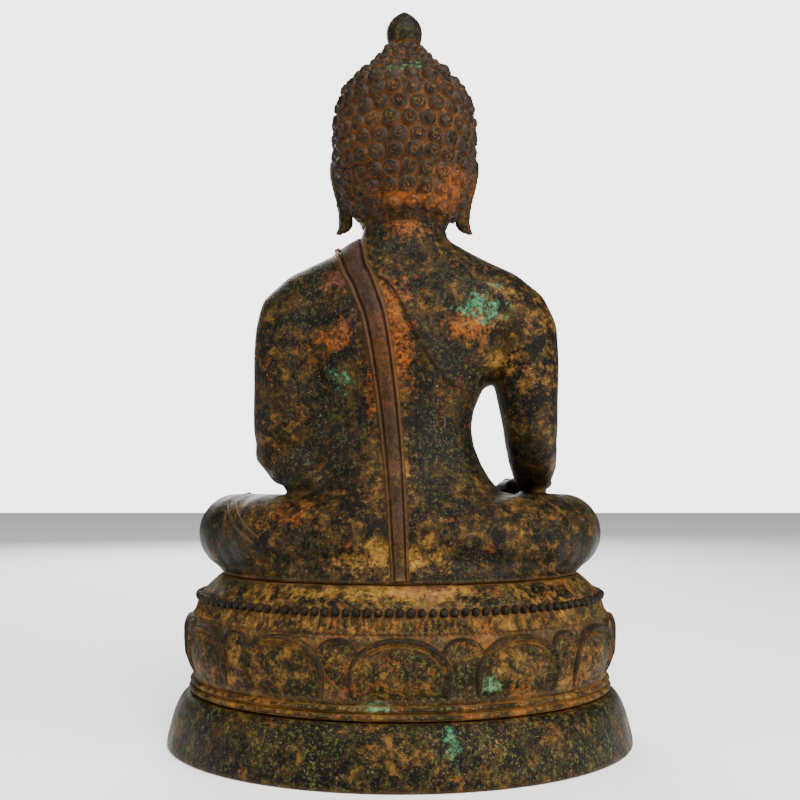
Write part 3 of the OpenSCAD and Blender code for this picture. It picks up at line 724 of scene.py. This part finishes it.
# outlines are (side, height); the sash has a ridge and a groove along each side
sashOutline = [(-9.4, -1.2), (-8.9, 0.6), (-8.2, 1.7), (-7.2, 2.1), (-6.3, 1.6), (-5.9, 0.5), (-5.4, 0.5),
               (-5.0, 1.5), (-4.2, 1.9), (0, 2.2), (4.2, 1.9), (4.8, 1.4), (5.2, 0.4), (5.9, 0.4),
               (6.3, 1.5), (7.2, 2.0), (8.2, 1.6), (8.9, 0.5), (9.4, -1.2)]
sashRoute = [(34, 296, 88), (33.5, 296, 70), (32.5, 296, 52), (31, 296, 34), (28.5, 297, 18), (25, 297, 6),
             (21, 290, 0), (16.5, 277, 0), (12.8, 258, 0), (9.8, 238, 0), (7.2, 218, 0), (5.4, 200, 0),
             (3.8, 182, 0), (2.6, 165, 0), (1.6, 148, 0), (0.8, 130, 0), (0, 113, 0)]
sash = stripUp(strip("backSash", sashRoute, sashOutline, taper=(1.25, 0.62)), outward)
finishPiece(sash, sashBronze, ["back_sash"])

flapOutline = [(s * 1.35, h) for s, h in sashOutline]
flapRoute = [(34, 296, 90), (34, 296, 110), (33.5, 296, 130), (33, 296, 150), (32, 296, 168),
             (30, 294, 178), (27, 282, 180), (23, 266, 180), (19, 248, 180), (15, 230, 180),
             (12, 212, 180), (10, 198, 180)]
flap = stripUp(strip("chestFlap", flapRoute, flapOutline), outward)
finishPiece(flap, sashBronze, ["front_sash"])

edgeOutline = [(-17, -0.9), (-13, -0.1), (-8, 0.9), (-4, 1.6), (-1.4, 2.1), (-0.4, 2.1), (0.3, 1.2),
               (0.6, -0.9)]
edgeBack = [(14, 303, 0), (8, 299, 0), (1, 289, 0), (-5, 276, 0), (-12, 263, 0), (-20, 249, 0), (-29, 238, 0),
            (-39, 231, 0), (-50, 229, 0)]
edgeFront = [(22, 308, 180), (12, 298, 180), (0, 285, 180), (-14, 270, 180), (-28, 257, 180), (-40, 247, 180),
             (-50, 240, 180)]
hemBack = stripUp(strip("robeEdgeBack", edgeBack, edgeOutline), outward, 1.2)
frontOutline = [(-s, h) for s, h in reversed(edgeOutline)]
hemFront = stripUp(strip("robeEdgeFront", edgeFront, frontOutline), outward, 1.2)
finishPiece(hemBack, bodyBronze, ["robe_edge"])
finishPiece(hemFront, bodyBronze)

cordOutline = [(-1.3, -0.6), (-0.8, 0.5), (0, 0.9), (0.8, 0.5), (1.3, -0.6)]
hemLines = [("kneeHemOuter", [(114, 162, 0), (112, 154, 0), (107, 146, 0), (100, 139, 0), (92, 133, 0)]),
            ("kneeHemInner", [(108, 163, 0), (106.5, 156, 0), (102, 149, 0), (95.5, 142, 0),
                              (88, 136.5, 0)])]
for lineName, route in hemLines:
    line = stripUp(strip(lineName, route, cordOutline, core=-30), outward, 0.8)
    finishPiece(line, bodyBronze)
print("robe made")

# hands and feet, built up from small lumps as (x, y, z, radius)
fingers = 4
limbLook = {"voxel": 0.9, "rounds": 4}
handItems = strung([(-92.5, -12, 172, 10.5), (-93, -26, 171, 10), (-94, -40, 169.5, 11)], 0.8)
handItems += [((-95, -42, 169.5), (16, 17, 6.5), (4, 0, 0)), ((-95, -56, 169), (17, 13, 5.6), (4, 0, 0))]
for k in range(fingers):
    x = -108 + 8.6 * k
    handItems += strung([(x + 2.5, -54, 168.6, 4.7), (x + 1, -69, 167.4, 4.5), (x, -81, 162, 4.3),
                         (x, -91, 151, 4.1), (x, -95.8, 138, 3.9), (x + 0.3, -96.4, 127, 3.4),
                         (x + 0.5, -95.6, 119.5, 2.8)])
handItems += strung([(-81, -34, 167, 6), (-76, -46, 166, 5.2), (-73.5, -58, 163.5, 4.6),
                     (-73, -68, 159, 3.6)])
rightHand = fuse([lumps("handClay", handItems)], "rightHand", limbLook["voxel"], limbLook["rounds"])
finishPiece(rightHand, bodyBronze, ["right_hand"])

handItems = strung([(50, -30, 172, 11), (42, -37, 171, 10.5), (32, -43, 170, 10.5)], 0.8)
handItems += [((20, -49, 168.5), (17, 16.5, 6.3)), ((8, -51, 168), (13, 17, 5.8))]
for k in range(fingers):
    y = -38.5 - 8.4 * k
    handItems += strung([(6, y, 168, 4.6), (-10, y - 0.5, 167.8, 4.5), (-24, y - 0.6, 168, 4.2),
                         (-36, y - 0.2, 168.6, 3.8), (-45, y + 0.4, 169.4, 3.0)])
handItems += strung([(26, -61, 169.5, 5.8), (14, -68, 171, 5), (2, -70.5, 172.5, 4.4), (-7, -70, 173.5, 3.6)])
leftHand = fuse([lumps("handClay", handItems)], "leftHand", limbLook["voxel"], limbLook["rounds"])
finishPiece(leftHand, bodyBronze, ["left_hand"])


def footPiece(name, route, toes, replaced):
    items = strung(route, 0.62)
    for toe, size in toes:
        tip = (toe[0] + 7 * math.copysign(1, toe[0]), toe[1] + 1.2, toe[2], size * 0.82)
        items += strung([(*toe, size), tip], 0.8)
    piece = fuse([lumps("footClay", items)], name, limbLook["voxel"], limbLook["rounds"])
    return finishPiece(piece, bodyBronze, [replaced])


footPiece("rightFoot", [(-6, -80, 147, 13), (10, -80, 149, 13.5), (28, -78, 150, 13), (44, -74, 151, 14),
                        (57, -69.5, 152, 13.5)],
          [((64 + 1.5 * abs(k - 1), -79.5 + 5.4 * k, 152.6), 3.9 - 0.3 * k) for k in range(5)], "right_foot")
footPiece("leftFoot", [(8, -71, 120.5, 12), (-12, -71.5, 120, 12.5), (-32, -73, 118.8, 12.5),
                       (-50, -75, 118, 12.5)],
          [((-60 - 1.5 * abs(k - 1), -85 + 5.2 * k, 117.6), 3.8 - 0.3 * k) for k in range(5)], "left_foot")
print("hands and feet made")

# head
headY = 8
skullLook = {"voxel": 1.0, "rounds": 3}
faceItems = [
    # jaw, cheeks, chin, brow
    ((axisX, -1, 372), (35, 38, 27)), ((axisX, -25, 357), (17, 15, 10)), ((axisX, -37.5, 354), (8, 6, 6)),
    ((axisX - 18, -24, 374), (13, 14, 14)), ((axisX + 18, -24, 374), (13, 14, 14)),
    ((axisX, -20, 412), (36, 26, 22)),
    # nose
    ((axisX, -43, 398), (3.6, 5, 11), (-8, 0, 0)), ((axisX, -46, 388), (4.2, 5.5, 11), (-14, 0, 0)),
    ((axisX, -49.3, 380.5), (4.6, 4.6, 4.4)), ((axisX - 5.2, -45.2, 379.6), (3.6, 4.6, 3.2)),
    ((axisX + 5.2, -45.2, 379.6), (3.6, 4.6, 3.2)),
    # eyes under lowered lids
    ((axisX - 15, -36.2, 395.5), (9.6, 6, 6)), ((axisX + 15, -36.2, 395.5), (9.6, 6, 6)),
    # lips
    ((axisX - 4.2, -42.6, 369.4), (5.6, 3.4, 2.2), (0, 12, 0)),
    ((axisX + 4.2, -42.6, 369.4), (5.6, 3.4, 2.2), (0, -12, 0)),
    ((axisX, -42.2, 365.6), (7.6, 3.6, 2.5)), ((axisX, -36, 366), (15, 7, 9)),
    # throat joins the neck
    ((axisX, 2, 350), (29, 31, 14)), ((axisX, 12, 346), (30, 28, 10)),
]
skull = fuse([copyNode("face"), copyNode("hair_cap"), lumps("faceClay", faceItems),
              lumps("core", [((axisX, headY, 392), (40, 44, 48))])],
             "skull", skullLook["voxel"], skullLook["rounds"])
skullTree = treeOf(skull)


def featureLine(name, route, outline):
    piece = strip(name, route, outline, core=0, tree=skullTree)
    return stripUp(piece, lambda c: Vector((0, -1, 0)), 0.9)


lidOutline = [(-0.9, -0.5), (-0.5, 0.45), (0, 0.65), (0.5, 0.45), (0.9, -0.5)]
browOutline = [(-1.3, -0.5), (-0.7, 0.5), (0, 0.8), (0.7, 0.5), (1.3, -0.5)]
# lines drawn on the face: (distance from its middle, height)
faceLines = [
    ("brow", browOutline, [(3.2, 397), (5, 403.5), (11, 408.3), (18, 408.8), (25, 405), (30, 399.5)]),
    ("lidLow", lidOutline, [(6.2, 394.3), (10, 391.6), (15, 390.6), (20, 392.1), (25.5, 395.6)]),
    ("lidHigh", lidOutline, [(6, 396.5), (10, 401), (15.5, 402.4), (21, 400.8), (26.5, 397)]),
]
features = [featureLine(lineName, [(axisX + side * x, z, 180) for x, z in route], outline)
            for side in (-1, 1) for lineName, outline, route in faceLines]


hairLook = {"crownZ": 430, "crownY": -41, "allHairY": -60, "slope": 0.62, "napeZ": 350.5, "thickness": 3.2}


# How deep the hair's edge lies at a height: over the forehead, past the temples, behind the ears.
def hairline(z):
    if z >= hairLook["crownZ"]:
        return hairLook["allHairY"]
    return hairLook["crownY"] + (hairLook["crownZ"] - z) * hairLook["slope"]


def isHair(face):
    c = face.calc_center_median() / mm
    return c.z >= hairLook["napeZ"] and c.y > hairline(c.z)


facePiece = cutOut(skull, "faceCast", lambda f: not isHair(f))
hair = cutOut(skull, "hairCap", isHair)
lift = hair.modifiers.new("Lift", "SOLIDIFY")
lift.thickness = hairLook["thickness"] * mm
lift.offset = 0.1
applyAll(hair)
smoothShade(hair, 60)
joinPieces([facePiece] + features)
finishPiece(facePiece, bodyBronze, ["face"])
finishPiece(hair, hairBronze, ["hair_cap"])

# topknot and bud
knotLow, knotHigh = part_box("topknot")
knotX, knotY = (knotLow.x + knotHigh.x) / 2 / mm, (knotLow.y + knotHigh.y) / 2 / mm
knotBase, budZ = knotLow.z / mm, knotHigh.z / mm
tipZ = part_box("finial")[1].z / mm
knotOutline = [(34, -6), (33.5, -2), (31.5, 1.5), (27.6, 5.5), (23.4, 9.5), (19.2, 14), (16, 19),
               (13.8, 22.5), (11.4, 24.4), (10.9, budZ - knotBase)]


def moved(piece, x, y):
    for v in piece.data.vertices:
        v.co.x += x * mm
        v.co.y += y * mm
    return piece


knot = turned("topknotMound", [(r, knotBase + z) for r, z in knotOutline]
              + [(4.1, budZ), (4.1, budZ - 16), (26, knotBase - 6)], steps=96, oval=False)
finishPiece(moved(knot, knotX, knotY), hairBronze, ["topknot"])
budH = tipZ - budZ
budOutline = [(9.4, 0), (10.8, 0.05), (11.6, 0.13), (12.3, 0.26), (12.6, 0.40), (12.0, 0.54),
              (10.5, 0.66), (8.2, 0.77), (5.6, 0.86), (3.2, 0.93), (1.4, 0.975), (0.01, 1.0)]
bud = turned("budFinial", [(r, budZ + h * budH) for r, h in budOutline]
             + [(0.01, budZ - 14), (3.9, budZ - 14), (3.9, budZ)], steps=96, oval=False)
finishPiece(moved(bud, knotX, knotY), hairBronze, ["finial"], body="bud")


curlLook = {"radius": 6.1, "height": 3.5, "sunk": 1.2, "ridge": 0.7, "winds": 2.1, "pitch": 12.3, "rings": 7,
            "spokes": 12, "rows": 10, "firstRow": 353.8, "rowStep": 10.6, "sizes": (0.93, 1.05),
            "knotRows": [(457.6, 0.86), (464.6, 0.74), (470.6, 0.6)], "stray": (0.5, 0.5, 0.6)}


# One snail curl on a button, as heights over a polar grid; its spiral groove winds in twice.
def curlPoints(size, turn):
    rings, spokes = curlLook["rings"], curlLook["spokes"]
    points = []
    for i in range(rings):
        share = 1 - i / (rings - 0.4)
        radius = curlLook["radius"] * share
        dome = curlLook["height"] * (1 - share ** 2.4) ** 0.62
        for j in range(spokes):
            a = 2 * math.pi * j / spokes
            ridge = curlLook["ridge"] * math.cos(2 * math.pi * share * curlLook["winds"] - a)
            height = dome + ridge * min(1, 3 * (1 - share)) if i else -curlLook["sunk"]
            points.append(Vector((radius * math.cos(a + turn) * size, radius * math.sin(a + turn) * size,
                                  height * size)))
    return points


def curlField():
    random.seed(5)
    tree = treeOf(hair)
    knotTree = treeOf(knot)
    mesh = bmesh.new()
    rings, spokes = curlLook["rings"], curlLook["spokes"]
    rows = [(curlLook["firstRow"] + curlLook["rowStep"] * i, 1.0) for i in range(curlLook["rows"])]
    for row, (z, size) in enumerate(rows + curlLook["knotRows"]):
        isKnot = z > knotBase
        seek = knotTree if isKnot else tree
        around = []
        for k in range(360):
            a = math.radians(k)
            aim = Vector((-math.cos(a), -math.sin(a), 0))
            hit = seek.ray_cast((Vector((axisX, knotY if isKnot else headY, z)) - aim * 120) * mm, aim)
            if hit[0]:
                around.append((a, hit[0] / mm, hit[1]))
        if not around:
            continue
        girth = sum((b[1] - a[1]).length for a, b in zip(around, around[1:]))
        count = max(5, round(girth / (curlLook["pitch"] * size)))
        walked, want = 0, girth / count * (0.5 if row % 2 else 0)
        for before, (a, spot, normal) in zip(around, around[1:]):
            walked += (spot - before[1]).length
            if walked < want:
                continue
            want += girth / count
            if not isKnot and spot.y < hairline(spot.z) + 3.5:
                continue
            # curls are hand-laid: a little out of line, each turned its own way
            jitter = Vector([random.uniform(-most, most) for most in curlLook["stray"]])
            facing = normal.to_track_quat("Z", "Y").to_matrix()
            grown = size * random.uniform(*curlLook["sizes"])
            ringPoints = [facing @ p + spot + jitter for p in curlPoints(grown, random.uniform(0, 6.28))]
            verts = [mesh.verts.new(p * mm) for p in ringPoints]
            for f in gridFaces(rings, spokes, loopColumns=True):
                mesh.faces.new([verts[i] for i in f])
            mesh.faces.new(verts[-spokes:])
            mesh.faces.new(list(reversed(verts[:spokes])))
    data = bpy.data.meshes.new("snailCurls")
    mesh.to_mesh(data)
    mesh.free()
    piece = place(data, "snailCurls")
    smoothShade(piece, 75)
    return piece


curls = curlField()
finishPiece(curls, hairBronze, ["hair_curls"])


# rows of the ear from its top to the hooked tip of its lobe: (z, inner x, outer x, y)
earLook = {"thickness": 4.2, "voxel": 0.9, "rounds": 5, "rows": [
    (403, 43.0, 46.0, 5), (400, 42.5, 49.0, 4), (395, 42.3, 51.8, 3), (388, 42.0, 52.2, 2.4),
    (380, 41.6, 50.6, 2), (372, 41.2, 48.4, 2), (364, 39.6, 46.6, 2.4), (357, 37.4, 45.6, 3),
    (351, 36.2, 45.6, 3.4), (346.5, 37.2, 46.6, 3.8), (343.4, 41.4, 47.6, 4.2)]}


def earPiece(name, side, replaced):
    rows = curveThrough(earLook["rows"], 4)
    columns = 11
    points = []
    for i, (z, inner, outer, y) in enumerate(rows):
        v = i / (len(rows) - 1)
        for j in range(columns):
            u = j / (columns - 1)
            rim = 2.4 * math.exp(-((u - 0.86) / 0.12) ** 2) * (1 - 0.4 * v)
            cup = 2.6 * math.sin(math.pi * min(1, u / 0.8)) * max(0, 1 - v * 1.7)
            x = inner + (outer - inner) * u
            points.append((axisX + side * x, y - 7 * u * (1 - 0.5 * v) - rim + cup, z + 1.5 * (1 - u)))
    piece = fromPoints(name, points, gridFaces(len(rows), columns))
    tidyMesh(piece)
    wall = piece.modifiers.new("Wall", "SOLIDIFY")
    wall.thickness = earLook["thickness"] * mm
    wall.offset = 0
    applyAll(piece)
    piece = fuse([piece], name, earLook["voxel"], earLook["rounds"])
    return finishPiece(piece, bodyBronze, [replaced])


earPiece("rightEar", -1, "right_ear")
earPiece("leftEar", 1, "left_ear")
print("head made")

# pins, rivets and the open core hole
for nodeName, material in (("seat_rivets", throneBronze), ("neck_pins", coreIron), ("core_pins", coreIron)):
    nodes[nodeName].data.materials.clear()
    nodes[nodeName].data.materials.append(material)
holeSpot = Vector((-27, 200, 141))
hit = skinTree.ray_cast(holeSpot * mm, Vector((0, -1, 0)))
facing = hit[1].to_track_quat("Z", "Y").to_matrix()


def setInSkin(piece, material):
    for v in piece.data.vertices:
        v.co = facing @ v.co + hit[0]
    finishPiece(piece, material)


holeOutline = rounded([(1.3, -0.5), (2.4, -0.5), (2.9, 0.15), (2.3, 0.5), (1.5, 0.35)], 1)
setInSkin(turned("coreHole", holeOutline, steps=24, oval=False), bodyBronze)
# a near-black disk in the ring paints the shade inside the open core hole
holeShadeFill = patina("holeShadeFill", plainLook | {
    "black": shadeBlack, "brown": shadeBlack, "blue": shadeBlack, "rust": 0.0, "moss": 0.0, "specks": 0.0, "runs": 0.0,
    "dust": 0.0, "wear": 0.0, "earth": -2.0, "zones": 0.0})
plugOutline = [(0.01, 0.12), (1.6, 0.12), (1.6, -0.6), (0.01, -0.6)]
setInSkin(turned("coreHoleDark", plugOutline, steps=20, oval=False), holeShadeFill)
bpy.data.objects.remove(skinWhole)
bpy.data.objects.remove(skull)
print("pins and core hole made")

# floor, light and camera
studioLook = {"floorSize": 8, "paper": (0.86, 0.86, 0.85, 1), "paperRough": 0.9, "glow": 0.25,
              "sky": (0.97, 0.98, 1.0, 1), "skyOnPieces": 0.22, "skySeen": 4.0}
# each lamp: its place, its power and its width
lamps = {"top": ((-0.3, 1.0, 1.6), 60, 0.9), "leftSide": ((1.5, 0.7, 0.8), 18, 0.8),
         "rightSide": ((-1.4, 0.9, 0.6), 34, 0.8), "front": ((0.3, -1.5, 1.1), 44, 1.2)}
lampAim = Vector((0, 0, 0.25))


def floorAndLight():
    bpy.ops.object.select_all(action="DESELECT")
    bpy.ops.mesh.primitive_plane_add(size=studioLook["floorSize"], location=(0, 0, 0))
    floor = bpy.context.object
    floor.name = "studioFloor"
    paper = bpy.data.materials.new("palePaper")
    paper.use_nodes = True
    shader = paper.node_tree.nodes["Principled BSDF"]
    shader.inputs["Base Color"].default_value = studioLook["paper"]
    shader.inputs["Roughness"].default_value = studioLook["paperRough"]
    shader.inputs["Emission Color"].default_value = (1, 1, 1, 1)
    shader.inputs["Emission Strength"].default_value = studioLook["glow"]
    floor.data.materials.append(paper)
    world = bpy.data.worlds.new("studio")
    bpy.context.scene.world = world
    world.use_nodes = True
    sky = world.node_tree.nodes["Background"]
    sky.inputs["Color"].default_value = studioLook["sky"]
    # the sky is seen white, but shines softly on the bronze
    seen = world.node_tree.nodes.new("ShaderNodeLightPath")
    level = world.node_tree.nodes.new("ShaderNodeMapRange")
    level.inputs["To Min"].default_value = studioLook["skyOnPieces"]
    level.inputs["To Max"].default_value = studioLook["skySeen"]
    world.node_tree.links.new(seen.outputs["Is Camera Ray"], level.inputs["Value"])
    world.node_tree.links.new(level.outputs[0], sky.inputs["Strength"])
    for name, (spot, power, size) in lamps.items():
        lamp = bpy.data.lights.new(name, "AREA")
        lamp.energy = power
        lamp.size = size
        holder = bpy.data.objects.new(name, lamp)
        holder.location = spot
        holder.rotation_euler = (lampAim - Vector(spot)).to_track_quat("-Z", "Y").to_euler()
        bpy.context.scene.collection.objects.link(holder)


floorAndLight()
cameraLook = {"away": 0.690, "height": 0.1754, "aimHeight": 0.2272, "lens": 45.0}
camera = bpy.data.objects.new("camera", bpy.data.cameras.new("camera"))
camera.data.lens = cameraLook["lens"]
camera.data.clip_start = 0.01
camera.location = (0, cameraLook["away"], cameraLook["height"])
aim = Vector((0, 0, cameraLook["aimHeight"])) - camera.location
camera.rotation_euler = aim.to_track_quat("-Z", "Y").to_euler()
bpy.context.scene.collection.objects.link(camera)
bpy.context.scene.camera = camera
print("studio set")
